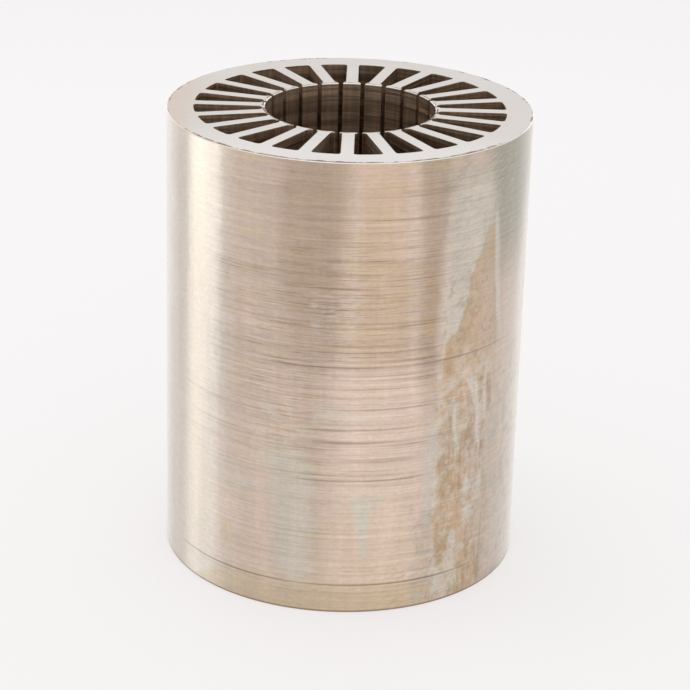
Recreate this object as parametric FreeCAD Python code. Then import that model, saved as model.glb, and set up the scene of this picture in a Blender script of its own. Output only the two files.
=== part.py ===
"""Stator lamination stack of a small electric motor, in millimetres.

The stack is 309 punched sheets of electrical steel, bonded face to face and ground round.
Every sheet has the same outline: a ring with 24 semi-closed winding slots that open into the bore.
The two end laminations are sheets of their own. The sheets between them are fused into one core.

Origin: centre of the bottom face. +Z runs along the bore. +X runs along the middle of the first slot.
"""
import FreeCAD, Part
import math
import os

# Driving dimensions
OUTER_D = 120.0            # ground outside diameter
BORE_D = 56.0              # bore that the rotor runs in
SLOT_COUNT = 24
SLOT_BOTTOM_D = 102.6      # diameter on which the slots end
TOOTH_W = 4.0              # the teeth have parallel sides
SLOT_OPENING = 1.5         # gap between two tooth tips
LIP_H = 0.7                # radial height of a tip's square end
SHOULDER_H = 1.1           # radial height of the slope from the tip to the tooth's side
SLOT_CORNER_R = 1.2        # round corners at the slot's bottom
SHEET_T = 0.5              # thickness of one lamination
RIM_BREAK = 0.25           # broken outer edge at each end of the stack

# From the bottom up: node name and number of sheets in it
STACK = (
    ("bottom_end_lamination", 1),
    ("lamination_core", 307),
    ("top_end_lamination", 1),
)

# Worked out from them
OUTER_R = OUTER_D / 2
BORE_R = BORE_D / 2
SLOT_BOTTOM_R = SLOT_BOTTOM_D / 2
PITCH = 360.0 / SLOT_COUNT
HALF_PITCH = math.radians(PITCH / 2)
UP = FreeCAD.Vector(0, 0, 1)
CENTRE = FreeCAD.Vector(0, 0, 0)
CUT_MARGIN = 1.0           # how far a cutter runs past what it cuts


def beside_tooth(along, offset):
    """A point at a distance along the centre line of the tooth above slot 1, and offset from it towards the slot."""
    x = along * math.cos(HALF_PITCH) + offset * math.sin(HALF_PITCH)
    y = along * math.sin(HALF_PITCH) - offset * math.cos(HALF_PITCH)
    return FreeCAD.Vector(x, y, 0)


def mirrored(point):
    """The same point on the other side of slot 1's centre line."""
    return FreeCAD.Vector(point.x, -point.y, 0)


def slot_outline():
    """Closed outline of slot 1, from inside the bore to the slot's bottom."""
    half_tooth = TOOTH_W / 2
    centre_offset = half_tooth + SLOT_CORNER_R
    centre_along = math.sqrt((SLOT_BOTTOM_R - SLOT_CORNER_R) ** 2 - centre_offset ** 2)
    corner_centre = beside_tooth(centre_along, centre_offset)

    mouth = FreeCAD.Vector(BORE_R - CUT_MARGIN, SLOT_OPENING / 2, 0)
    lip_top = FreeCAD.Vector(BORE_R + LIP_H, SLOT_OPENING / 2, 0)
    shoulder_top = beside_tooth(BORE_R + LIP_H + SHOULDER_H, half_tooth)
    side_end = beside_tooth(centre_along, half_tooth)
    bottom_start = corner_centre * (SLOT_BOTTOM_R / corner_centre.Length)
    to_middle = (side_end - corner_centre) + (bottom_start - corner_centre)
    corner_middle = corner_centre + to_middle * (SLOT_CORNER_R / to_middle.Length)
    bottom_middle = FreeCAD.Vector(SLOT_BOTTOM_R, 0, 0)

    side = [mouth, lip_top, shoulder_top, side_end]
    edges = [Part.makeLine(mirrored(mouth), mouth)]
    for start, end in zip(side, side[1:]):
        edges.append(Part.makeLine(start, end))
        edges.append(Part.makeLine(mirrored(start), mirrored(end)))
    corner = (side_end, corner_middle, bottom_start)
    edges.append(Part.Arc(*corner).toShape())
    edges.append(Part.Arc(*[mirrored(point) for point in corner]).toShape())
    edges.append(Part.Arc(bottom_start, bottom_middle, mirrored(bottom_start)).toShape())
    return Part.Wire(Part.__sortEdges__(edges))


def slot_cutters(bottom, height):
    """One prism for each slot, a little longer than the sheets it is punched through."""
    first = Part.Face(slot_outline()).extrude(UP * (height + 2 * CUT_MARGIN))
    first.translate(UP * (bottom - CUT_MARGIN))
    cutters = []
    for slot in range(SLOT_COUNT):
        cutter = first.copy()
        cutter.rotate(CENTRE, UP, slot * PITCH)
        cutters.append(cutter)
    return cutters


def ring_section(bottom, top, break_below, break_above):
    """Half section of the unpunched ring. Its rim is broken where it ends the stack."""
    corners = [(BORE_R, bottom)]
    if break_below:
        corners += [(OUTER_R - RIM_BREAK, bottom), (OUTER_R, bottom + RIM_BREAK)]
    else:
        corners.append((OUTER_R, bottom))
    if break_above:
        corners += [(OUTER_R, top - RIM_BREAK), (OUTER_R - RIM_BREAK, top)]
    else:
        corners.append((OUTER_R, top))
    corners.append((BORE_R, top))
    points = [FreeCAD.Vector(radius, 0, height) for radius, height in corners]
    return Part.Face(Part.makePolygon(points + points[:1]))


def laminations(bottom, sheets, ends_below, ends_above):
    """A run of like sheets as one solid: a turned ring, with the slots punched through it."""
    height = sheets * SHEET_T
    section = ring_section(bottom, bottom + height, ends_below, ends_above)
    ring = section.revolve(CENTRE, UP, 360)
    punched = ring.cut(slot_cutters(bottom, height))
    return punched.Solids[0]


def main():
    os.makedirs("parts", exist_ok=True)
    bottom = 0.0
    for place, (name, sheets) in enumerate(STACK):
        solid = laminations(bottom, sheets, place == 0, place == len(STACK) - 1)
        solid.exportStep(f"parts/{name}.step")
        bottom += sheets * SHEET_T
        print(f"{name}: {sheets} sheets, top at {bottom:.1f} mm, {solid.Volume / 1000:.1f} cm3")


main()
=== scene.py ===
"""Looks of a stator lamination stack: every sheet with its own edges, the ground outside and its stains.

The stack stands on its end. Sheet edges show as fine rings outside, in the bore and in the slots.
Sizes in the property groups are in metres, and places on the outside are given as an angle from the
front of the stack, in degrees towards its right, and a depth below the top face, in millimetres.
"""
import math
import random

import bmesh
import bpy
from mathutils import Matrix, Vector, noise


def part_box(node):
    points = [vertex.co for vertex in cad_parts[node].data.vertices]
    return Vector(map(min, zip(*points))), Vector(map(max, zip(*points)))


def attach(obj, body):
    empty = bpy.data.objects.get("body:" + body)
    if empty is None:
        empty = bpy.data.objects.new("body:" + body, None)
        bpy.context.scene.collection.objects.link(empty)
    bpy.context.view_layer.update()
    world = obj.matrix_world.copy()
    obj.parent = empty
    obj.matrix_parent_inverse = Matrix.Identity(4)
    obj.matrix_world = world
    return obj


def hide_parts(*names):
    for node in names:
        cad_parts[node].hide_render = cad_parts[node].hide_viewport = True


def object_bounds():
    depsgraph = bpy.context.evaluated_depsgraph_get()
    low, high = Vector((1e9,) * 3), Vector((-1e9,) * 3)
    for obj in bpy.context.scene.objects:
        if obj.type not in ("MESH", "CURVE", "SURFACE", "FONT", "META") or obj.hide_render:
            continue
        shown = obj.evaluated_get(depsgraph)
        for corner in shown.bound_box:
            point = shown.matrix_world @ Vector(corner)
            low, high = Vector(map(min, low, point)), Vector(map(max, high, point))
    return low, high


bl_info = {
    "name": "Stator lamination stack",
    "version": (1, 0, 0),
    "blender": (4, 5, 0),
    "location": "3D View > Sidebar > Stator",
    "description": "Builds the sheets of a ground stator stack, their steel and a pale studio",
    "category": "Add Mesh",
}

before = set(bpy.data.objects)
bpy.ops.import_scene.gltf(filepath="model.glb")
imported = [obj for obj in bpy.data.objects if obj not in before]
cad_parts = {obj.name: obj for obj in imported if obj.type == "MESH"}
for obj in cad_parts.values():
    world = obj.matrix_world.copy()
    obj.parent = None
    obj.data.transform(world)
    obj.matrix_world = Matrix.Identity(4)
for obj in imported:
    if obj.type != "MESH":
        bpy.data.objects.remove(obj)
CAD_LOW, CAD_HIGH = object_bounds()
MM = 0.001
FULL_TURN = 2 * math.pi
STACK_H = CAD_HIGH.z - CAD_LOW.z
OUTER_R = (CAD_HIGH.x - CAD_LOW.x) / 2
SHEET_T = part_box("bottom_end_lamination")[1].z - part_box("bottom_end_lamination")[0].z
SHEET_COUNT = round(STACK_H / SHEET_T)
FRONT = math.radians(-96.84)      # direction from the axis to the front of the stack
SEED = 24
SMOOTH_TURN = math.radians(25)    # walls that turn less than this are shaded as one


def from_hex(text):
    """Linear colour from an sRGB hex value."""
    channels = [int(text[i:i + 2], 16) / 255 for i in (1, 3, 5)]
    return [c / 12.92 if c <= 0.04045 else ((c + 0.055) / 1.055) ** 2.4 for c in channels]


class StackSizes(bpy.types.PropertyGroup):
    """Sizes of one lamination and of the stack."""

    outer_r: bpy.props.FloatProperty(
        name="Outside radius", description="Ground outside of the stack", default=OUTER_R,
        unit="LENGTH")
    bore_r: bpy.props.FloatProperty(
        name="Bore radius", description="Circle of the tooth tips", default=28 * MM, unit="LENGTH")
    slot_bottom_r: bpy.props.FloatProperty(
        name="Slot bottom radius", description="Circle on which the slots end", default=51.3 * MM,
        unit="LENGTH")
    tooth_w: bpy.props.FloatProperty(
        name="Tooth width", description="Width between a tooth's parallel sides", default=4 * MM,
        unit="LENGTH")
    slot_opening: bpy.props.FloatProperty(
        name="Slot opening", description="Gap between two tooth tips", default=1.5 * MM, unit="LENGTH")
    lip_h: bpy.props.FloatProperty(
        name="Lip height", description="Radial height of a tip's square end", default=0.7 * MM, unit="LENGTH")
    shoulder_h: bpy.props.FloatProperty(
        name="Shoulder height", description="Radial height of the slope behind a lip", default=1.1 * MM,
        unit="LENGTH")
    corner_r: bpy.props.FloatProperty(
        name="Corner radius", description="Round corners at a slot's bottom", default=1.2 * MM, unit="LENGTH")
    slot_count: bpy.props.IntProperty(name="Slots", description="Slots round the bore", default=24, min=3)
    rim_break: bpy.props.FloatProperty(
        name="End rim break", description="Broken rim of the end laminations", default=0.25 * MM,
        unit="LENGTH")
    mouth_break: bpy.props.FloatProperty(
        name="Bore mouth break", description="Broken edge of the tooth tips", default=0.3 * MM, unit="LENGTH")
    edge_break: bpy.props.FloatProperty(
        name="Sheet edge break", description="Mean groove between two sheets outside", default=0.03 * MM,
        unit="LENGTH")
    stacking_play: bpy.props.FloatProperty(
        name="Stacking play", description="How far a sheet lies off the axis", default=0.025 * MM,
        unit="LENGTH")


class StackColours(bpy.types.PropertyGroup):
    """Colours of the steel and of what has dried on it."""

    face: bpy.props.FloatVectorProperty(
        name="End face", description="Bare flat face of an end lamination", subtype="COLOR",
        default=from_hex("#dad6d1"))
    wiped_face: bpy.props.FloatVectorProperty(
        name="Wiped end face", description="End face where it was wiped clean", subtype="COLOR",
        default=from_hex("#efedec"))
    ground: bpy.props.FloatVectorProperty(
        name="Ground edges", description="Ground sheet edges outside", subtype="COLOR",
        default=from_hex("#d2c6b9"))
    film: bpy.props.FloatVectorProperty(
        name="Oil film", description="Even film of oil on the front", subtype="COLOR",
        default=from_hex("#d2bdad"))
    wiped: bpy.props.FloatVectorProperty(
        name="Wiped steel", description="Cleaner, greyer steel where the oil was wiped off",
        subtype="COLOR", default=from_hex("#dad3c6"))
    sage: bpy.props.FloatVectorProperty(
        name="Sage film", description="Pale green grey film", subtype="COLOR",
        default=from_hex("#d3d0c1"))
    rosy: bpy.props.FloatVectorProperty(
        name="Rosy film", description="Thin oil film with a pink cast", subtype="COLOR",
        default=from_hex("#e5cfc0"))
    straw: bpy.props.FloatVectorProperty(
        name="Straw film", description="Oil gone yellow along single sheets", subtype="COLOR",
        default=from_hex("#d6c39c"))
    tan: bpy.props.FloatVectorProperty(
        name="Tan film", description="Dried oil", subtype="COLOR", default=from_hex("#c9aa84"))
    brown: bpy.props.FloatVectorProperty(
        name="Brown film", description="Dried oil with rust in it", subtype="COLOR",
        default=from_hex("#96795a"))
    grey: bpy.props.FloatVectorProperty(
        name="Grey film", description="Greenish grey film", subtype="COLOR",
        default=from_hex("#a39d8c"))
    joint: bpy.props.FloatVectorProperty(
        name="Joint", description="Bonding film and dirt between sheets", subtype="COLOR",
        default=from_hex("#78593a"))
    inside: bpy.props.FloatVectorProperty(
        name="Punched edges", description="Punched sheet edges in bore and slots", subtype="COLOR",
        default=from_hex("#c4ad97"))


# Joints in which dirt has lodged: depth below the top face, the angles between which it shows, darkness.
OPEN_JOINTS = (
    (8, -30, -8, 0.3), (7.5, 24, 60, 0.35), (15, -24, 0, 0.25), (18.5, -10, 68, 0.65), (22.5, -4, 30, 0.35),
    (29, 4, 28, 0.35), (35, -36, 28, 0.5), (37, -28, 4, 0.5), (41, -8, 5, 0.6), (47, -14, 26, 0.4),
    (53, -16, 28, 0.5), (60, -30, 26, 0.4), (62.5, -40, 28, 0.5), (66, -36, 55, 0.55), (67.5, -42, 60, 0.75),
    (72, 0, 28, 0.6), (75, -30, 28, 0.55), (81, -30, 30, 0.4), (84.5, -56, -8, 0.4), (89, -6, 26, 0.75),
    (93.5, -4, 28, 0.7), (96, -16, 26, 0.55), (100.5, -8, 26, 0.8), (107, -10, 22, 0.7),
    (118.5, -34, 6, 0.5), (126, -14, 10, 0.4), (141, -2, 28, 0.55), (144.5, -56, 48, 0.9), (147, -4, 26, 0.3),
)
# Parts of the outside where many joints show: first and last angle, first and last depth, how much.
LINED_PARTS = (
    (-42, 4, 34, 78, 0.5), (-4, 27, 28, 82, 0.62), (-10, 24, 86, 108, 0.7), (-46, 24, 104, 150, 0.32),
    (18, 68, 4, 40, 0.4), (-44, 24, 4, 34, 0.22), (-58, -8, 82, 104, 0.45), (4, 28, 118, 150, 0.4),
)


# ---------------------------------------------------------------- sheets

def sector_outline(sizes):
    """Corners of half a tooth's sector, tooth along +X, from the tip's middle to the outside."""
    half_pitch = math.pi / sizes.slot_count
    half_tooth = sizes.tooth_w / 2
    half_gap = sizes.slot_opening / 2
    along = Vector((math.cos(half_pitch), math.sin(half_pitch), 0))
    across = Vector((math.sin(half_pitch), -math.cos(half_pitch), 0))
    tip_end = along * math.sqrt(sizes.bore_r ** 2 - half_gap ** 2) + across * half_gap
    lip_end = along * (sizes.bore_r + sizes.lip_h) + across * half_gap
    shoulder_end = Vector((sizes.bore_r + sizes.lip_h + sizes.shoulder_h, half_tooth, 0))
    corner = Vector((math.sqrt(sizes.slot_bottom_r ** 2 - half_tooth ** 2), half_tooth, 0))
    bottom = along * sizes.slot_bottom_r
    rim_end = along * sizes.outer_r
    return [tip_end, lip_end, shoulder_end, corner, bottom, rim_end]


def on_circle(vert, radius):
    """Seat a vertex on a circle about the axis."""
    flat = Vector((vert.co.x, vert.co.y, 0)).normalized() * radius
    vert.co.x, vert.co.y = flat.x, flat.y


def arc_between(bm, edge, cuts, radius):
    """Divide one edge and lay the new points on a circle about the axis."""
    made = bmesh.ops.subdivide_edges(bm, edges=[edge], cuts=cuts)
    for item in made["geom_inner"]:
        if isinstance(item, bmesh.types.BMVert):
            on_circle(item, radius)


def joins(edge, first, second):
    """True if an edge runs between these two points."""
    ends = {tuple(round(c, 7) for c in vert.co) for vert in edge.verts}
    return ends == {tuple(round(c, 7) for c in first), tuple(round(c, 7) for c in second)}


def flat_sheet(sizes):
    """One flat lamination: a tooth's sector, its arcs and round corners, spun round the axis."""
    half = sector_outline(sizes)
    mirrored = [Vector((p.x, -p.y, 0)) for p in half]
    corner_segments, rim_cuts, tip_cuts = 3, 4, 1
    bm = bmesh.new()
    verts = [bm.verts.new(p) for p in half + mirrored[::-1]]
    bm.faces.new(verts)
    corners = [verts[3], verts[-4]]
    bmesh.ops.bevel(
        bm, geom=corners, offset=sizes.corner_r, segments=corner_segments, profile=0.5,
        affect="VERTICES", material=-1)
    rim = next(e for e in bm.edges if joins(e, half[-1], mirrored[-1]))
    arc_between(bm, rim, rim_cuts, sizes.outer_r)
    tip = next(e for e in bm.edges if joins(e, half[0], mirrored[0]))
    arc_between(bm, tip, tip_cuts, sizes.bore_r)
    pitch = FULL_TURN / sizes.slot_count
    bmesh.ops.rotate(bm, verts=bm.verts, cent=(0, 0, 0), matrix=Matrix.Rotation(pitch / 2, 3, "Z"))
    bmesh.ops.spin(
        bm, geom=bm.faces[:], cent=(0, 0, 0), axis=(0, 0, 1), angle=FULL_TURN - pitch,
        steps=sizes.slot_count - 1, use_duplicate=True)
    bmesh.ops.remove_doubles(bm, verts=bm.verts, dist=0.002 * MM)
    return bm


def solid_sheet(sizes, rim_break_below, rim_break_above):
    """One lamination as a closed solid with its lower face at zero, both rims broken."""
    bm = flat_sheet(sizes)
    made = bmesh.ops.extrude_face_region(bm, geom=bm.faces[:])
    raised = [item for item in made["geom"] if isinstance(item, bmesh.types.BMVert)]
    bmesh.ops.translate(bm, verts=raised, vec=(0, 0, SHEET_T))
    bmesh.ops.recalc_face_normals(bm, faces=bm.faces)
    slack = 0.001 * sizes.outer_r
    for level, width in ((0.0, rim_break_below), (SHEET_T, rim_break_above)):
        break_edges(bm, level, sizes.outer_r - slack, sizes.outer_r + slack, width)
    return bm


def break_edges(bm, level, nearest, farthest, width):
    """Chamfer the level edges at one height that lie between two distances from the axis."""
    found = []
    for edge in bm.edges:
        flat = all(abs(vert.co.z - level) < 0.1 * SHEET_T for vert in edge.verts)
        if flat and all(nearest < vert.co.xy.length < farthest for vert in edge.verts):
            found.append(edge)
    bmesh.ops.bevel(
        bm, geom=found, offset=width, segments=1, profile=0.5, affect="EDGES", material=-1)


def paint_faces(bm, sizes, least_lift):
    """Material of each face: 0 looks up or down by this much, 1 the ground outside, 2 bore and slots."""
    bm.normal_update()
    outside_from = 0.97 * sizes.outer_r
    for face in bm.faces:
        middle = face.calc_center_median().xy.length
        if abs(face.normal.z) > least_lift:
            face.material_index = 0
        elif middle > outside_from:
            face.material_index = 1
        else:
            face.material_index = 2
        face.smooth = face.material_index != 0
    for edge in bm.edges:
        walls = [f for f in edge.link_faces if f.material_index]
        turn = edge.calc_face_angle(0.0) if len(edge.link_faces) == 2 else 0.0
        edge.smooth = len(walls) == 2 and turn < SMOOTH_TURN


def soft_box(value, low, high, fade):
    """One between low and high, fading to nothing over the given width outside."""
    return max(0.0, min(1.0, 1 + min(value - low, high - value) / fade))


def front_angle(point):
    """Angle of a point from the front of the stack, in degrees towards its right."""
    turn = math.degrees(math.atan2(point.y, point.x) - FRONT)
    return (turn + 180) % 360 - 180


def lined_share(angle, depth):
    """How much the joints show at a place outside, from none to one, and evenly round the back."""
    front_half_width, share_behind, least_share = 75, 0.3, 0.1
    if abs(angle) > front_half_width:
        return share_behind
    shares = [much * soft_box(angle, first, last, 6) * soft_box(depth, top, bottom, 4)
              for first, last, top, bottom, much in LINED_PARTS]
    return max(least_share, *shares)


def joint_dirt(joint, point, angle, shown, boldness):
    """How dark the joint above a sheet shows at a point of its rim."""
    depth = (SHEET_COUNT - joint) * SHEET_T / MM
    along = Vector((point.x / (24 * MM), point.y / (24 * MM), joint * 3.7))
    broken = max(0.0, min(1.0, 0.5 + 1.5 * noise.noise(along) + 0.35 * noise.noise(along * 4)))
    dirt = shown * boldness * broken
    for place, first, last, dark in OPEN_JOINTS:
        if abs(depth - place) < 0.3 * SHEET_T / MM:
            dirt = max(dirt, dark * soft_box(angle, first, last, 8) * (0.45 + 0.55 * broken))
    return dirt


def sheet_tone(index, point, angle, shown, own_tone):
    """How much lighter or darker a sheet is at a point of its rim: strongest where joints show."""
    around = Vector((point.x / (38 * MM), point.y / (38 * MM), index * 7.3))
    filmed = (0.3 + 0.7 * soft_box(angle, -42, 62, 10)) * (0.8 + 1.3 * shown)
    return filmed * (own_tone + 1.2 * noise.noise(around) + 0.8 * noise.noise(around * 3))


def seat_sheet(bm, start, index, sizes, rng, boldness):
    """Put a new sheet in its place, a hair off the axis, its rim ground flush, with its dirt and tone."""
    dirt = bm.verts.layers.float["joint_dirt"]
    tone = bm.verts.layers.float["sheet_tone"]
    play = Vector((rng.gauss(0, 0.5), rng.gauss(0, 0.5), 0)) * sizes.stacking_play
    twist = Matrix.Rotation(rng.gauss(0, 0.5) * sizes.stacking_play / sizes.slot_bottom_r, 3, "Z")
    own_tone = rng.gauss(0, 0.5)
    bottom = index * SHEET_T
    rim_start = sizes.outer_r - 2 * sizes.rim_break
    for vert in bm.verts[start:]:
        above = vert.co.z > SHEET_T / 2
        joint = index + 1 if above else index
        if vert.co.xy.length < rim_start:
            vert.co = twist @ vert.co + play
        else:
            angle = front_angle(vert.co)
            shown = lined_share(angle, (SHEET_COUNT - joint) * SHEET_T / MM)
            vert[dirt] = joint_dirt(joint, vert.co, angle, shown, boldness[joint])
            vert[tone] = sheet_tone(index, vert.co, angle, shown, own_tone)
            width = sizes.edge_break * (0.25 + 1.6 * vert[dirt])
            if vert.co.xy.length < sizes.outer_r - 0.2 * sizes.edge_break:
                on_circle(vert, sizes.outer_r - width)
                vert.co.z = SHEET_T if above else 0.0
            else:
                vert.co.z = SHEET_T - width if above else width
        vert.co.z += bottom


def sheets_object(name, first, last, sizes, rng, boldness):
    """A run of laminations, numbered from the bottom, as one object of separate closed sheets."""
    template = solid_sheet(sizes, sizes.edge_break, sizes.edge_break)
    paint_faces(template, sizes, 0.9)
    pattern = bpy.data.meshes.new("sheet_pattern")
    template.to_mesh(pattern)
    template.free()
    bm = bmesh.new()
    bm.verts.layers.float.new("joint_dirt")
    bm.verts.layers.float.new("sheet_tone")
    for index in range(first, last):
        start = len(bm.verts)
        bm.from_mesh(pattern)
        bm.verts.ensure_lookup_table()
        seat_sheet(bm, start, index, sizes, rng, boldness)
    bpy.data.meshes.remove(pattern)
    return finished(bm, name)


def finished(bm, name):
    """An object at the origin from a bmesh."""
    mesh = bpy.data.meshes.new(name)
    bm.to_mesh(mesh)
    bm.free()
    piece = bpy.data.objects.new(name, mesh)
    bpy.context.scene.collection.objects.link(piece)
    return piece


def fit_in_stack(piece, node):
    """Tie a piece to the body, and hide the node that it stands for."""
    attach(piece, "root")
    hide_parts(node)


# ---------------------------------------------------------------- materials

SMOOTH = {"interpolation_type": "SMOOTHSTEP"}
COLOUR_MIX = {"data_type": "RGBA", "blend_type": "MIX"}
COLOUR_TIMES = {"data_type": "RGBA", "blend_type": "MULTIPLY"}
TIMES, PLUS, MINUS, TIMES_PLUS, HIGHEST = (
    {"operation": name} for name in ("MULTIPLY", "ADD", "SUBTRACT", "MULTIPLY_ADD", "MAXIMUM"))


def add(tree, kind, settings=None, inputs=None, out=0):
    """Add a shader node with its settings and sockets, and return one of its outputs.

    A socket given as another node's output is linked to it.
    """
    made = tree.nodes.new("ShaderNode" + kind)
    for key, value in (settings or {}).items():
        setattr(made, key, value)
    for key, value in (inputs or {}).items():
        if isinstance(value, bpy.types.NodeSocket):
            tree.links.new(value, made.inputs[key])
        else:
            made.inputs[key].default_value = value
    return made.outputs[out] if made.outputs else made


def new_material(name):
    """An empty node material and its tree."""
    material = bpy.data.materials.new(name)
    material.use_nodes = True
    material.node_tree.nodes.clear()
    return material, material.node_tree


def opaque(colour):
    """A colour as the nodes take it, with full alpha."""
    return list(colour) + [1]


def turned_to_front(tree):
    """Object coordinates turned so that the front is at +X, and their three parts."""
    place = add(tree, "TexCoord", out=3)
    turned = add(tree, "Mapping", {"vector_type": "POINT"}, {0: place, "Rotation": (0, 0, -FRONT)})
    return turned, add(tree, "SeparateXYZ", {}, {0: turned}).node.outputs


def angle_from_front(tree, parts):
    """Angle from the front in degrees, towards the right."""
    radians = add(tree, "Math", {"operation": "ARCTAN2"}, {0: parts[1], 1: parts[0]})
    return add(tree, "Math", TIMES, {0: radians, 1: 180 / math.pi})


def depth_below_top(tree, parts):
    """Depth below the top face in mm."""
    return add(tree, "Math", TIMES_PLUS, {0: parts[2], 1: -1 / MM, 2: STACK_H / MM})


def grain(tree, turned, cell, detail=3.0, roughness=0.55, seed=0.0):
    """Noise in cells of a real size in mm along X, Y and Z of the turned object coordinates."""
    moved = add(tree, "Mapping", {"vector_type": "POINT"}, {
        0: turned, "Scale": [1 / (c * MM) for c in cell], "Location": (seed, seed, seed)})
    return add(tree, "TexNoise", {}, {
        "Vector": moved, "Scale": 1.0, "Detail": detail, "Roughness": roughness})


def edge_curve(tree, depth, points):
    """An angle that follows the depth, through a few points of (depth in mm, angle in degrees)."""
    low, high = points[0][0], points[-1][0]
    least = min(a for _, a in points)
    most = max(a for _, a in points) + 0.01
    share = add(tree, "MapRange", {"clamp": True}, {0: depth, 1: low, 2: high, 3: 0.0, 4: 1.0})
    curve = add(tree, "FloatCurve", {}, {"Value": share}).node
    line = curve.mapping.curves[0]
    shares = [((d - low) / (high - low), (a - least) / (most - least)) for d, a in points]
    line.points[0].location = shares[0]
    line.points[1].location = shares[-1]
    for place in shares[1:-1]:
        line.points.new(*place)
    curve.mapping.update()
    return add(tree, "MapRange", {}, {0: curve.outputs[0], 1: 0.0, 2: 1.0, 3: least, 4: most})


def patch(tree, place, left, right, soft=1.0, ends=2.0, wobble=0.0):
    """A mask between two edges, each a list of (depth, angle), that wander by wobble degrees.

    It fades over soft degrees at its sides and over ends mm above and below.
    """
    angle, depth, ragged = place
    if wobble:
        angle = add(tree, "Math", TIMES_PLUS, {0: ragged, 1: wobble, 2: angle})
        depth = add(tree, "Math", TIMES_PLUS, {0: ragged, 1: wobble * 1.5, 2: depth})
    from_left = add(tree, "Math", MINUS, {0: angle, 1: edge_curve(tree, depth, left)})
    from_right = add(tree, "Math", MINUS, {0: edge_curve(tree, depth, right), 1: angle})
    result = 1.0
    for distance in (from_left, from_right):
        mask = add(tree, "MapRange", SMOOTH, {0: distance, 1: -soft / 2, 2: soft / 2, 3: 0.0, 4: 1.0})
        result = add(tree, "Math", TIMES, {0: mask, 1: result})
    for level, above, below in ((left[0][0], 0.0, 1.0), (left[-1][0], 1.0, 0.0)):
        mask = add(tree, "MapRange", SMOOTH, {
            0: depth, 1: level - ends / 2, 2: level + ends / 2, 3: above, 4: below})
        result = add(tree, "Math", TIMES, {0: mask, 1: result})
    return result
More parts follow.
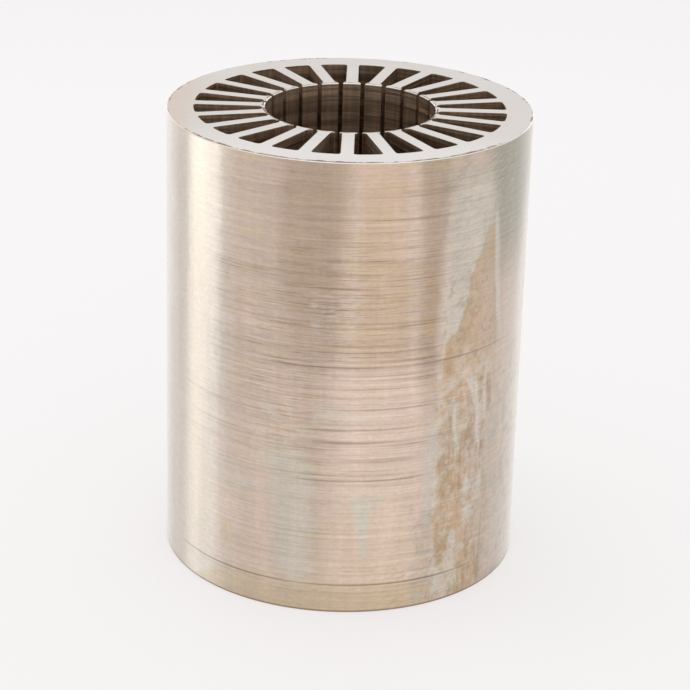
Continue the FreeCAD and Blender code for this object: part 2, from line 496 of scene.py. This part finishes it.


# Films and runs on the outside, and some painted shade, highlight and reflection: colour, strength, then
# raggedness and softness in degrees, softness of the ends in mm, pattern of the gaps in it, left edge and
# right edge. Each edge is a list of (depth in mm, angle in degrees).
FILMS_AND_PAINTED_LIGHT = (
    # broad films, and broad patches of painted highlight, shade and reflection
    # paler, greyer steel right under the bright band on the left: painted highlight, so that the band shows
    # cream and white
    ("wiped", 0.6, 8, 8, 30, None, ((-20, -60), (170, -60)), ((-20, -40), (170, -39))),
    # darker, greener grey over the upper right: a greenish film, and painted shade as well
    ("grey", 0.95, 8, 12, 30, None, ((-26, 43), (40, 53)), ((-26, 84), (40, 74))),
    ("grey", 0.5, 6, 5, 14, "clouds", ((-8, 28), (24, 29)), ((-8, 54), (24, 56))),
    # the upper middle of the front made darker in the brown film's colour: painted shade, for the darker
    # reflection of the upper wall
    ("brown", 0.4, 6, 8, 40, None, ((-34, -22), (62, -18)), ((-34, 1), (62, -1))),
    # a warm tan band from the top down, just right of the front: a painted reflection of something warm at
    # the front right
    ("tan", 0.34, 6, 5, 30, None, ((-30, 5), (78, 4)), ((-30, 17), (30, 19), (78, 20))),
    ("rosy", 0.75, 8, 8, 16, None, ((66, -4), (150, -3)), ((66, 27), (150, 26))),
    ("rosy", 0.3, 6, 3, 8, None, ((14, 13), (34, 16)), ((14, 25), (34, 25))),
    ("rosy", 0.35, 6, 8, 16, None, ((92, -44), (146, -44)), ((92, -22), (146, -22))),
    # sage and pink patches low on the left, the brown foot
    ("sage", 0.5, 8, 4, 5, "clouds", ((82, -30), (91, -30)), ((82, 2), (91, 2))),
    ("sage", 0.6, 16, 8, 10, None, ((98, -24), (142, -20)), ((98, -10), (142, -8))),
    ("sage", 0.5, 12, 5, 8, "clouds", ((106, -42), (122, -40)), ((106, -28), (122, -24))),
    ("rosy", 0.4, 6, 4, 5, None, ((117, -42), (126, -41)), ((117, -34), (126, -35))),
    ("straw", 0.5, 6, 3, 6, None, ((128, -40), (136, -40)), ((128, -36), (136, -37))),
    ("straw", 0.22, 10, 10, 34, None, ((112, -2), (180, -8)), ((112, 24), (180, 26))),
    ("straw", 0.4, 5, 6, 6, None, ((145, -40), (158, -60)), ((145, 26), (158, 54))),
    ("brown", 0.1, 5, 8, 8, None, ((148, -44), (160, -60)), ((148, 62), (160, 66))),
    ("brown", 0.4, 8, 8, 10, "strokes", ((138, 14), (160, 14)), ((138, 62), (160, 62))),
    # wiped column right of the middle, with its brown edge, above the blade of dried oil
    ("brown", 0.34, 4, 5, 16, None, ((-12, 21), (40, 23), (74, 23)), ((-12, 31), (40, 30), (74, 30))),
    ("wiped", 0.7, 7, 6, 14, None, ((8, 34), (30, 32), (52, 31), (66, 31.5)),
     ((8, 50), (24, 51), (40, 48), (66, 36))),
    ("tan", 0.7, 6, 2.0, 8, "clouds", ((36, 24.5), (50, 25.5), (62, 26)),
     ((36, 28.5), (50, 29.6), (62, 29.4))),
    ("wiped", 0.5, 6, 5, 8, "strokes", ((-4, 30), (26, 31)), ((-4, 60), (26, 64))),
    ("grey", 0.4, 6, 5, 8, "strokes", ((10, 31), (56, 31)), ((10, 66), (56, 66))),
    ("tan", 0.7, 3, 0.7, 2, None,
     ((26, 48.4), (34, 45), (42, 41.8), (50, 40), (57, 37.5), (63, 33), (84, 32)),
     ((26, 51.6), (40, 52.4), (54, 54), (67, 55.5), (84, 55))),
    ("grey", 0.3, 5, 9, 14, None, ((22, 44), (48, 49), (70, 50)), ((22, 53), (48, 55), (70, 57))),
    ("film", 0.45, 5, 9, 10, None, ((40, 45), (60, 44), (84, 44)), ((40, 53), (60, 54), (84, 57))),
    ("brown", 0.3, 5, 2.5, 6, "clouds", ((36, 41), (50, 39.4), (60, 38)), ((36, 45), (50, 46), (60, 46))),
    ("wiped", 0.5, 3, 1.2, 8, None, ((22, 51.5), (40, 52.6), (54, 54.2), (66, 55.6)),
     ((22, 53.6), (40, 55), (54, 57), (66, 59))),
    # mottled middle: olive lobes with pale runs between them
    ("rosy", 0.5, 8, 2, 4, "clouds", ((63, 30), (84, 31)), ((63, 44), (84, 42))),
    ("tan", 0.7, 6, 1.0, 4, None, ((64, 33), (76, 33.5)), ((64, 35.6), (76, 36))),
    ("tan", 0.42, 9, 1.6, 5, None, ((84, 31), (96, 30.6), (110, 30.4)), ((84, 47), (96, 46.5), (110, 50))),
    ("brown", 0.2, 7, 1.2, 4, "runs", ((80, 39), (108, 40)), ((80, 46), (108, 47))),
    ("wiped", 0.8, 4, 0.8, 4, None, ((82, 35), (94, 37), (106, 38.6)), ((82, 37), (94, 38.6), (106, 40))),
    ("wiped", 0.8, 4, 0.8, 4, None, ((76, 41), (88, 45.6), (106, 48)), ((76, 46), (88, 47.8), (106, 49.4))),
    ("brown", 0.4, 2, 0.8, 3, None, ((77, 47.4), (87, 47.6)), ((77, 49.4), (87, 48.8))),
    ("brown", 0.4, 2, 0.8, 3, None, ((77, 51.2), (89, 52.2)), ((77, 53.4), (89, 54))),
    ("brown", 0.4, 3, 1.0, 3, None, ((94, 49), (104, 49.4)), ((94, 51.4), (104, 51.4))),
    ("wiped", 0.7, 3, 1.0, 4, None, ((72, 49.6), (90, 49.8)), ((72, 51), (90, 51.2))),
    # lower right: the tan field, torn open in places
    ("tan", 0.8, 12, 1.8, 6, None, ((104, 31), (116, 30), (130, 31), (138, 32), (158, 39)),
     ((104, 44), (116, 42), (130, 46), (138, 49), (158, 53))),
    ("tan", 0.55, 12, 3, 10, "clouds", ((100, 42), (128, 46), (160, 40)), ((100, 50), (128, 55), (160, 56))),
    ("brown", 0.36, 8, 2, 8, "runs", ((84, 30), (158, 36)), ((84, 54), (158, 52))),
    ("wiped", 0.6, 10, 2, 6, "clouds", ((110, 44), (120, 42), (130, 45)), ((110, 52), (120, 50), (130, 49))),
    ("wiped", 0.62, 18, 1.6, 5, None, ((128, 35), (138, 30), (151, 30)), ((128, 37), (138, 41), (151, 40))),
    ("tan", 0.9, 8, 1.4, 3, None, ((130, 31), (141, 31.5)), ((130, 37), (141, 35))),
    ("brown", 0.3, 8, 2, 3, None, ((130, 31), (141, 31.5)), ((130, 37), (141, 35))),
    ("grey", 0.45, 8, 3, 8, "clouds", ((118, 23), (158, 25)), ((118, 30), (158, 31))),
    ("wiped", 0.62, 9, 2.4, 10, None, ((88, 26), (104, 26), (122, 27)), ((88, 29.5), (104, 31), (122, 29.4))),
    ("wiped", 0.55, 8, 5, 8, "clouds", ((68, 29), (110, 28), (158, 24)), ((68, 58), (110, 60), (158, 60))),
    ("brown", 0.26, 8, 5, 8, "flecks", ((40, 31), (100, 30), (158, 24)), ((40, 54), (100, 54), (158, 58))),
    # small wipes at the front
    ("wiped", 0.6, 5, 5, 8, "smears", ((42, -10), (57, -10)), ((42, 7), (57, 7))),
    ("sage", 0.7, 6, 1.8, 5, None, ((113, 2), (120, 4.6), (134, 6.6)), ((113, 14), (120, 9.5), (134, 8.4))),
    ("sage", 0.6, 6, 3, 3, "smears", ((82, -8), (88, -8)), ((82, 16), (88, 16))),
    # right edge, dirt in the foot's right corner, and painted shade round the foot's bottom edge
    ("grey", 0.45, 12, 4, 16, "clouds", ((74, 53), (156, 52)), ((74, 76), (156, 72))),
    ("brown", 0.2, 8, 3, 10, "runs", ((112, 48), (156, 48)), ((112, 60), (156, 58))),
    # a dark line round the foot's bottom edge: painted shade, for the contact shadow that the broken bottom
    # rim reflects
    ("joint", 0.75, 0, 2, 0.7, None, ((153.8, -200), (156, -200)), ((153.8, 200), (156, 200))),
)

# Rings in the oil: colour, cell of the noise in mm along X, Y and Z, its threshold and full value,
# strength, and whether they keep to the lined part of the front.
RINGS = (
    ("straw", (15, 15, 2.6), 0.47, 0.66, 0.5, False),
    ("rosy", (13, 13, 5.0), 0.50, 0.70, 0.4, False),
    ("brown", (16, 16, 0.55), 0.50, 0.68, 0.62, True),
    ("rosy", (14, 14, 0.7), 0.52, 0.68, 0.7, True),
    ("wiped", (11, 11, 0.6), 0.54, 0.72, 0.6, True),
)


# Gaps in a stain: name, cell of the noise in mm along X, Y and Z, its seed, its threshold and full value.
GAPS = (
    ("clouds", (5, 5, 5), 8.0, 0.40, 0.66),
    ("runs", (2.4, 2.4, 20), 9.0, 0.44, 0.62),
    ("smears", (6, 6, 1.2), 1.0, 0.46, 0.66),
    ("flecks", (2.2, 2.2, 2.8), 14.0, 0.52, 0.62),
)
STROKE_RISE = math.radians(-24)   # slope of a rag's strokes, rising to the right
STROKE_CELL = (9, 0.9, 1)         # their length and width in mm


def gap_patterns(tree, turned, angle, depth):
    """Masks that break a stain up: the patterns in GAPS, and the slant strokes of a rag."""
    gaps = {}
    for name, cell, seed, low, high in GAPS:
        noisy = grain(tree, turned, cell, 5.0, 0.62, seed)
        gaps[name] = add(tree, "MapRange", SMOOTH, {0: noisy, 1: low, 2: high, 3: 0.0, 4: 1.0})
    around = add(tree, "Math", TIMES, {0: angle, 1: math.radians(OUTER_R / MM)})
    flat = add(tree, "CombineXYZ", {}, {0: around, 1: depth})
    slant = add(tree, "Mapping", {"vector_type": "TEXTURE"}, {
        0: flat, "Rotation": (0, 0, STROKE_RISE), "Scale": STROKE_CELL})
    noisy = add(tree, "TexNoise", {"noise_dimensions": "2D"}, {
        "Vector": slant, "Scale": 1.0, "Detail": 3.0, "Roughness": 0.6, "Distortion": 0.5})
    noisy = add(tree, "MapRange", SMOOTH, {0: noisy, 1: 0.42, 2: 0.72, 3: 0.0, 4: 1.0})
    gaps["strokes"] = add(tree, "Math", TIMES, {0: noisy, 1: gaps["clouds"]})
    return gaps


def oil_and_painted_light_colour(tree, colours, turned, place):
    """Steel under films of oil: clouds of it, rings where it crept along single sheets, stains, and patches
    of painted shade, highlight and reflection.
    """
    clouds = grain(tree, turned, (24, 24, 20), 4.0, 0.55, 4.0)
    bare = add(tree, "MapRange", SMOOTH, {0: clouds, 1: 0.46, 2: 0.72, 3: 0.0, 4: 0.55})
    colour = add(tree, "Mix", COLOUR_MIX, {0: bare, 6: opaque(colours.ground), 7: opaque(colours.wiped)}, 2)
    # the pinker oil film keeps to the front, and the sides stay greyer and paler: a real film at the front,
    # and painted reflection at the sides, which reflect whiter at a grazing angle
    front = patch(tree, place, ((-9, -40), (90, -38), (164, -34)), ((-9, 66), (90, 64), (164, 62)), 18, 2, 8)
    colour = add(tree, "Mix", COLOUR_MIX, {0: front, 6: colour, 7: opaque(colours.film)}, 2)
    lined = patch(tree, place, ((22, -8), (36, -22), (84, -30), (112, -6)),
                  ((22, 26), (36, 27), (84, 28), (112, 25)), 8, 12, 12)
    lined = add(tree, "Math", TIMES_PLUS, {0: lined, 1: 0.7, 2: 0.3})
    lined = add(tree, "Math", TIMES, {0: lined, 1: front})
    for name, cell, low, high, much, keeps in RINGS:
        ring = grain(tree, turned, cell, 5.0, 0.68, 20.0 + cell[2])
        ring = add(tree, "MapRange", SMOOTH, {0: ring, 1: low, 2: high, 3: 0.0, 4: much})
        ring = add(tree, "Math", TIMES, {0: ring, 1: lined if keeps else front})
        colour = add(tree, "Mix", COLOUR_MIX, {0: ring, 6: colour, 7: opaque(getattr(colours, name))}, 2)
    angle, depth, _ = place
    gaps = gap_patterns(tree, turned, angle, depth)
    for name, strength, wobble, soft, ends, gap, left, right in FILMS_AND_PAINTED_LIGHT:
        mask = patch(tree, place, left, right, soft, ends, wobble)
        mask = add(tree, "Math", TIMES, {0: mask, 1: strength})
        if gap:
            mask = add(tree, "Math", TIMES, {0: mask, 1: gaps[gap]})
        colour = add(tree, "Mix", COLOUR_MIX, {0: mask, 6: colour, 7: opaque(getattr(colours, name))}, 2)
    return colour


def ground_steel(colours, sizes):
    """Ground electrical steel on the sheets' edges: satin, drawn out round the stack, under dried oil, with
    painted shade, highlight and reflection in its colour in places.
    """
    material, tree = new_material("ground_electrical_steel_edges")
    turned, parts = turned_to_front(tree)
    angle, depth = angle_from_front(tree, parts), depth_below_top(tree, parts)
    ragged = add(tree, "Math", MINUS, {0: grain(tree, turned, (6, 6, 9), 6.0, 0.68), 1: 0.5})
    colour = oil_and_painted_light_colour(tree, colours, turned, (angle, depth, ragged))

    # each sheet has a tone of its own, wiping marks run up and down, short scratches run round
    own = add(tree, "Attribute", {"attribute_name": "sheet_tone"}, out=2)
    wipes = grain(tree, turned, (7, 7, 90), 3.0, 0.55, 3.0)
    shade = add(tree, "MapRange", SMOOTH, {0: wipes, 1: 0.3, 2: 0.7, 3: 0.95, 4: 1.04})
    scratches = grain(tree, turned, (3.2, 3.2, 0.6), 4.0, 0.65, 12.0)
    pits = grain(tree, turned, (1.3, 1.3, 1.2), 3.0, 0.65, 18.0)
    for marks, much in ((scratches, 0.34), (pits, 0.22)):
        marks = add(tree, "Math", MINUS, {0: marks, 1: 0.5})
        shade = add(tree, "Math", TIMES_PLUS, {0: marks, 1: much, 2: shade})
    shade = add(tree, "Math", TIMES_PLUS, {0: own, 1: 0.042, 2: shade})
    grey = add(tree, "CombineColor", {}, {0: shade, 1: shade, 2: shade})
    colour = add(tree, "Mix", COLOUR_TIMES, {0: 1.0, 6: colour, 7: grey}, 2)

    # dirt darkens the joints, and rust has left a few specks, one in three cells of 9 mm
    dirt = add(tree, "Attribute", {"attribute_name": "joint_dirt"}, out=2)
    joint = add(tree, "MapRange", SMOOTH, {0: dirt, 1: 0.0, 2: 1.0, 3: 0.0, 4: 0.62})
    colour = add(tree, "Mix", COLOUR_MIX, {0: joint, 6: colour, 7: opaque(colours.joint)}, 2)
    cells = add(tree, "Mapping", {"vector_type": "POINT"}, {0: turned, "Scale": [1 / (9 * MM)] * 3})
    spots = add(tree, "TexVoronoi", {}, {"Vector": cells}).node.outputs
    dot = add(tree, "MapRange", SMOOTH, {0: spots["Distance"], 1: 0.035, 2: 0.06, 3: 0.8, 4: 0.0})
    chosen = add(tree, "Math", {"operation": "GREATER_THAN"}, {0: spots["Color"], 1: 0.66})
    speck = add(tree, "Math", TIMES, {0: dot, 1: chosen})
    colour = add(tree, "Mix", COLOUR_MIX, {0: speck, 6: colour, 7: opaque(colours.joint)}, 2)

    # grinding marks 0.3 mm wide are drawn coarser than real ones, and chatter ripples the band of light
    rough = add(tree, "Math", TIMES_PLUS, {0: joint, 1: 0.1, 2: 0.32})
    marks = grain(tree, turned, (30, 30, 0.3), 2.0, 0.5, 6.0)
    bump = add(tree, "Bump", {}, {"Strength": 0.06, "Distance": 0.01 * MM, "Height": marks})
    ripples = grain(tree, turned, (5, 5, 3), 3.0, 0.6, 7.0)
    bump = add(tree, "Bump", {}, {
        "Strength": 1.0, "Distance": 0.1 * MM, "Height": ripples, "Normal": bump})
    tangent = add(tree, "Tangent", {"direction_type": "RADIAL", "axis": "Z"})
    shader = add(tree, "BsdfPrincipled", {}, {
        "Base Color": colour, "Metallic": 1.0, "Roughness": rough, "Anisotropic": 1.0,
        "Anisotropic Rotation": 0.25, "Normal": bump, "Tangent": tangent,
        "Coat Weight": 1.0, "Coat Roughness": 0.25, "Coat IOR": 1.45})
    add(tree, "OutputMaterial", {}, {"Surface": shader})
    return material


def face_steel(colours, sizes):
    """Lapped face of bare electrical steel sheet: pale, matt and nearly even, browned at its very edges."""
    material, tree = new_material("lapped_electrical_steel_face")
    turned, parts = turned_to_front(tree)
    clouds = grain(tree, turned, (16, 16, 16), 4.0, 0.55, 9.0)
    film = add(tree, "MapRange", SMOOTH, {0: clouds, 1: 0.35, 2: 0.75, 3: 0.0, 4: 0.15})
    colour = add(tree, "Mix", COLOUR_MIX, {0: film, 6: opaque(colours.face), 7: opaque(colours.film)}, 2)
    front = add(tree, "MapRange", SMOOTH, {0: parts[0], 1: 0.3 * OUTER_R, 2: 0.9 * OUTER_R, 3: 0.0, 4: 1.0})
    clean = add(tree, "Math", TIMES, {0: front, 1: 0.5})
    colour = add(tree, "Mix", COLOUR_MIX, {0: clean, 6: colour, 7: opaque(colours.wiped_face)}, 2)
    left = add(tree, "MapRange", SMOOTH, {
        0: parts[1], 1: -0.75 * OUTER_R, 2: -0.95 * OUTER_R, 3: 0.0, 4: 0.5})
    colour = add(tree, "Mix", COLOUR_MIX, {0: left, 6: colour, 7: opaque(colours.film)}, 2)

    # the outer edge gets brown and dark dashes in spots, more of them at the front, and dirt sits along the
    # tooth tips
    flat = add(tree, "VectorMath", {"operation": "MULTIPLY"}, {0: turned, 1: (1, 1, 0)})
    radius = add(tree, "VectorMath", {"operation": "LENGTH"}, {0: flat}, out=1)
    spots = grain(tree, turned, (5, 5, 5), 4.0, 0.7, 7.0)
    rim_front_spread = add(tree, "Math", TIMES_PLUS, {0: front, 1: 0.14, 2: -0.04})
    rim_r = OUTER_R - sizes.rim_break
    mouth_r = sizes.bore_r + sizes.mouth_break
    for nearest, farthest, threshold, spread, name in (
            (rim_r - 1.0 * MM, rim_r, 0.48, rim_front_spread, "brown"),
            (rim_r - 1.4 * MM, rim_r, 0.60, rim_front_spread, "joint"),
            (mouth_r + 0.6 * MM, mouth_r, 0.40, 0.0, "joint")):
        ramp = add(tree, "MapRange", {}, {0: radius, 1: nearest, 2: farthest, 3: -0.14, 4: 0.0})
        value = add(tree, "Math", PLUS, {0: spots, 1: ramp})
        value = add(tree, "Math", PLUS, {0: value, 1: spread})
        rust = add(tree, "MapRange", SMOOTH, {
            0: value, 1: threshold - 0.05, 2: threshold + 0.03, 3: 0.0, 4: 0.92})
        within = add(tree, "Math", {"operation": "COMPARE"}, {
            0: radius, 1: (nearest + farthest) / 2, 2: abs(farthest - nearest) / 2})
        rust = add(tree, "Math", TIMES, {0: within, 1: rust})
        colour = add(tree, "Mix", COLOUR_MIX, {0: rust, 6: colour, 7: opaque(getattr(colours, name))}, 2)

    lapping = grain(tree, turned, (0.6, 7, 7), 3.0, 0.6, 2.0)
    rough = add(tree, "MapRange", SMOOTH, {0: lapping, 1: 0.3, 2: 0.7, 3: 0.34, 4: 0.44})
    bump = add(tree, "Bump", {}, {"Strength": 0.2, "Distance": 0.01 * MM, "Height": lapping})
    shader = add(tree, "BsdfPrincipled", {}, {
        "Base Color": colour, "Metallic": 1.0, "Roughness": rough, "Normal": bump})
    add(tree, "OutputMaterial", {}, {"Surface": shader})
    return material


def punched_steel(colours, sizes):
    """Punched edges in bore and slots: sheared steel under brown bonding varnish, so dark and half matt."""
    material, tree = new_material("punched_steel_edges_varnished")
    turned, parts = turned_to_front(tree)
    depth = depth_below_top(tree, parts)
    sheet = add(tree, "Math", TIMES, {0: depth, 1: MM / SHEET_T})
    joint = add(tree, "Math", {"operation": "ROUND"}, {0: sheet})
    gap = add(tree, "Math", {"operation": "ABSOLUTE"}, {0: add(tree, "Math", MINUS, {0: sheet, 1: joint})})
    line = add(tree, "MapRange", SMOOTH, {0: gap, 1: 0.05, 2: 0.30, 3: 0.35, 4: 0.0})
    rows = grain(tree, turned, (40, 40, 0.9), 2.0, 0.6, 5.0)
    upright = grain(tree, turned, (1.6, 1.6, 50), 3.0, 0.6, 15.0)
    row_tone = add(tree, "MapRange", SMOOTH, {0: rows, 1: 0.3, 2: 0.7, 3: 0.72, 4: 1.2})
    streak_tone = add(tree, "MapRange", SMOOTH, {0: upright, 1: 0.3, 2: 0.7, 3: 0.78, 4: 1.12})
    shade = add(tree, "Math", TIMES, {0: row_tone, 1: streak_tone})
    grey = add(tree, "CombineColor", {}, {0: shade, 1: shade, 2: shade})
    colour = add(tree, "Mix", COLOUR_TIMES, {0: 1.0, 6: opaque(colours.inside), 7: grey}, 2)
    colour = add(tree, "Mix", COLOUR_MIX, {0: line, 6: colour, 7: opaque(colours.joint)}, 2)
    rough = add(tree, "MapRange", SMOOTH, {0: rows, 1: 0.3, 2: 0.7, 3: 0.34, 4: 0.46})
    bump = add(tree, "Bump", {}, {"Strength": 0.15, "Distance": 0.02 * MM, "Height": gap})
    shader = add(tree, "BsdfPrincipled", {}, {
        "Base Color": colour, "Metallic": 1.0, "Roughness": rough, "Normal": bump})
    add(tree, "OutputMaterial", {}, {"Surface": shader})
    return material


def stack_materials(colours, sizes):
    """The three finishes of a sheet, made once and shared by all pieces."""
    makers = {
        "lapped_electrical_steel_face": face_steel,
        "ground_electrical_steel_edges": ground_steel,
        "punched_steel_edges_varnished": punched_steel,
    }
    return [bpy.data.materials.get(name) or make(colours, sizes) for name, make in makers.items()]


def dress(piece, colours, sizes):
    """Give a piece the three finishes in the order of paint_faces."""
    for material in stack_materials(colours, sizes):
        piece.data.materials.append(material)


# ---------------------------------------------------------------- operators

class STATOR_OT_end_laminations(bpy.types.Operator):
    """Add the top and the bottom lamination, each a sheet of its own with a broken rim"""

    bl_idname = "stator.end_laminations"
    bl_label = "End laminations"

    def execute(self, context):
        sizes, colours = context.scene.stator_sizes, context.scene.stator_colours
        ends = (
            ("bottom_end_sheet", "bottom_end_lamination", 0, sizes.rim_break, sizes.edge_break),
            ("top_end_sheet", "top_end_lamination", SHEET_COUNT - 1, sizes.edge_break, sizes.rim_break),
        )
        for name, node, index, below, above in ends:
            bm = solid_sheet(sizes, below, above)
            outer_level = 0.0 if index == 0 else SHEET_T
            tip_start, lip_end = 0.99 * sizes.bore_r, sizes.bore_r + 1.02 * sizes.lip_h
            break_edges(bm, outer_level, tip_start, lip_end, sizes.mouth_break)
            paint_faces(bm, sizes, 0.9 if index == 0 else 0.5)
            bmesh.ops.translate(bm, verts=bm.verts, vec=(0, 0, index * SHEET_T))
            piece = finished(bm, name)
            dress(piece, colours, sizes)
            fit_in_stack(piece, node)
        return {"FINISHED"}


class STATOR_OT_core_laminations(bpy.types.Operator):
    """Add the sheets between the two end laminations, in runs of separate closed sheets"""

    bl_idname = "stator.core_laminations"
    bl_label = "Core laminations"

    def execute(self, context):
        sizes, colours = context.scene.stator_sizes, context.scene.stator_colours
        rng = random.Random(SEED)
        boldness = [0.12 + 0.88 * rng.random() ** 2 for _ in range(SHEET_COUNT + 1)]
        runs = 4
        per_run = math.ceil((SHEET_COUNT - 2) / runs)
        for run in range(runs):
            first = 1 + run * per_run
            last = min(first + per_run, SHEET_COUNT - 1)
            piece = sheets_object(f"core_sheets_{run + 1}", first, last, sizes, rng, boldness)
            dress(piece, colours, sizes)
            fit_in_stack(piece, "lamination_core")
        return {"FINISHED"}


class STATOR_OT_stage(bpy.types.Operator):
    """Add the pale floor, the studio light and the camera"""

    bl_idname = "stator.stage"
    bl_label = "Stage, light and camera"

    def execute(self, context):
        add_floor()
        add_world(context.scene)
        add_lamps()
        add_camera(context.scene)
        context.scene.view_settings.view_transform = "Standard"
        return {"FINISHED"}


class STATOR_PT_panel(bpy.types.Panel):
    """Buttons and values of the stator stack"""

    bl_idname = "STATOR_PT_panel"
    bl_label = "Stator stack"
    bl_space_type = "VIEW_3D"
    bl_region_type = "UI"
    bl_category = "Stator"

    def draw(self, context):
        layout = self.layout
        for operator in OPERATORS:
            layout.operator(operator.bl_idname)
        for group in (context.scene.stator_sizes, context.scene.stator_colours):
            for name in group.bl_rna.properties.keys():
                if name not in ("rna_type", "name"):
                    layout.prop(group, name)


# ---------------------------------------------------------------- stage

def towards(angle_deg, distance, height):
    """A point at an angle from the stack's front, in degrees towards its right."""
    turn = FRONT + math.radians(angle_deg)
    return Vector((distance * math.cos(turn), distance * math.sin(turn), height))


def add_floor():
    """A wide sheet of white card under the stack; its seen white fades greyer far from it, a painted falloff
    of the light round the stack.
    """
    bm = bmesh.new()
    bmesh.ops.create_grid(bm, x_segments=1, y_segments=1, size=4.0)
    floor = finished(bm, "floor")
    material, tree = new_material("white_card_floor")
    place = add(tree, "TexCoord", out=3)
    away = add(tree, "VectorMath", {"operation": "LENGTH"}, {0: place}, out=1)
    # the seen white fades greyer away from the stack: a painted falloff of the light
    far = add(tree, "MapRange", SMOOTH, {0: away, 1: 0.45, 2: 1.1, 3: 0.0, 4: 1.0})
    near_tone, painted_falloff_tone = (0.96, 0.94, 0.95, 1), (0.89, 0.87, 0.88, 1)
    tone = add(tree, "Mix", COLOUR_MIX, {0: far, 6: near_tone, 7: painted_falloff_tone}, 2)
    card = add(tree, "BsdfDiffuse", {}, {"Color": (0.93, 0.92, 0.915, 1)})
    white = add(tree, "Emission", {}, {"Color": tone, "Strength": 1.0})
    rays = add(tree, "LightPath").node.outputs
    seen = add(tree, "Math", HIGHEST, {0: rays["Is Camera Ray"], 1: rays["Is Glossy Ray"]})
    share = add(tree, "Math", TIMES, {0: seen, 1: 0.6})
    shader = add(tree, "MixShader", {}, {0: share, 1: card, 2: white})
    add(tree, "OutputMaterial", {}, {"Surface": shader})
    floor.data.materials.append(material)


def add_world(scene):
    """White surroundings for the eye and for reflections, a softer white for everything else."""
    world = bpy.data.worlds.new("studio")
    world.use_nodes = True
    tree = world.node_tree
    tree.nodes.clear()
    rays = add(tree, "LightPath").node.outputs
    seen = add(tree, "Math", HIGHEST, {0: rays["Is Camera Ray"], 1: rays["Is Glossy Ray"]})
    seen = add(tree, "Math", HIGHEST, {0: seen, 1: rays["Is Transmission Ray"]})
    strength = add(tree, "MapRange", {}, {0: seen, 1: 0.0, 2: 1.0, 3: 0.86, 4: 1.0})
    background = add(tree, "Background", {}, {"Color": (0.96, 0.95, 0.95, 1), "Strength": strength})
    add(tree, "OutputWorld", {}, {"Surface": background})
    scene.world = world


def add_lamp(name, angle_deg, distance, height, size, power, colour, aim_height):
    """A soft box that faces the stack: metres and watts, its angle from the front towards the right."""
    data = bpy.data.lights.new(name, "AREA")
    data.shape = "RECTANGLE"
    data.size, data.size_y = size
    data.energy = power
    data.color = colour
    lamp = bpy.data.objects.new(name, data)
    lamp.location = towards(angle_deg, distance, height)
    aim = Vector((0, 0, aim_height)) - lamp.location
    lamp.rotation_euler = aim.to_track_quat("-Z", "Y").to_euler()
    lamp.visible_camera = False
    bpy.context.scene.collection.objects.link(lamp)


def add_lamps():
    """Two low soft boxes on the left that draw the bright band, a warm one at the front right, three more."""
    white, cream, cool, warm = (1.0, 1.0, 1.0), (1.0, 0.97, 0.90), (0.94, 0.95, 1.0), (1.0, 0.90, 0.78)
    add_lamp("left_cream_box", -101.5, 0.9, 0.225, (0.24, 0.45), 0.86, cream, 0.225)
    add_lamp("left_cool_box", -87.5, 0.9, 0.225, (0.20, 0.45), 0.51, cool, 0.225)
    add_lamp("front_right_box", 22, 1.5, 0.7, (1.3, 1.4), 2.3, warm, 0.7)
    add_lamp("overhead_box", 180, 0.05, 1.3, (1.3, 1.3), 1.6, white, 0.0)
    add_lamp("back_left_box", -150, 1.8, 0.45, (0.9, 0.9), 2.2, white, 0.3)
    add_lamp("back_right_box", 150, 1.8, 0.45, (0.9, 0.9), 2.2, white, 0.3)


def add_camera(scene):
    """A long lens, level with a tooth at the front, looking down on the stack and leaning a little."""
    distance, rise = 12.512 * OUTER_R, 3.706 * OUTER_R
    pitch, yaw, roll = math.radians(22.21), math.radians(0.034), math.radians(1.604)
    data = bpy.data.cameras.new("camera")
    data.sensor_width = 36.0
    data.lens = 124.28
    data.clip_end = 20
    camera = bpy.data.objects.new("camera", data)
    look = Matrix.Rotation(FRONT + math.pi / 2 - yaw, 4, "Z") @ Matrix.Rotation(math.pi / 2 - pitch, 4, "X")
    lean = Matrix.Rotation(roll, 4, "Z")
    place = towards(0, distance, CAD_HIGH.z + rise)
    camera.matrix_world = Matrix.Translation(place) @ look @ lean
    scene.collection.objects.link(camera)
    scene.camera = camera


OPERATORS = (STATOR_OT_end_laminations, STATOR_OT_core_laminations, STATOR_OT_stage)
CLASSES = (StackSizes, StackColours) + OPERATORS + (STATOR_PT_panel,)


def register():
    for item in CLASSES:
        bpy.utils.register_class(item)
    bpy.types.Scene.stator_sizes = bpy.props.PointerProperty(type=StackSizes)
    bpy.types.Scene.stator_colours = bpy.props.PointerProperty(type=StackColours)


def unregister():
    del bpy.types.Scene.stator_colours
    del bpy.types.Scene.stator_sizes
    for item in reversed(CLASSES):
        bpy.utils.unregister_class(item)


def main():
    register()
    bpy.ops.stator.end_laminations()
    bpy.ops.stator.core_laminations()
    bpy.ops.stator.stage()


if __name__ == "__main__":
    main()
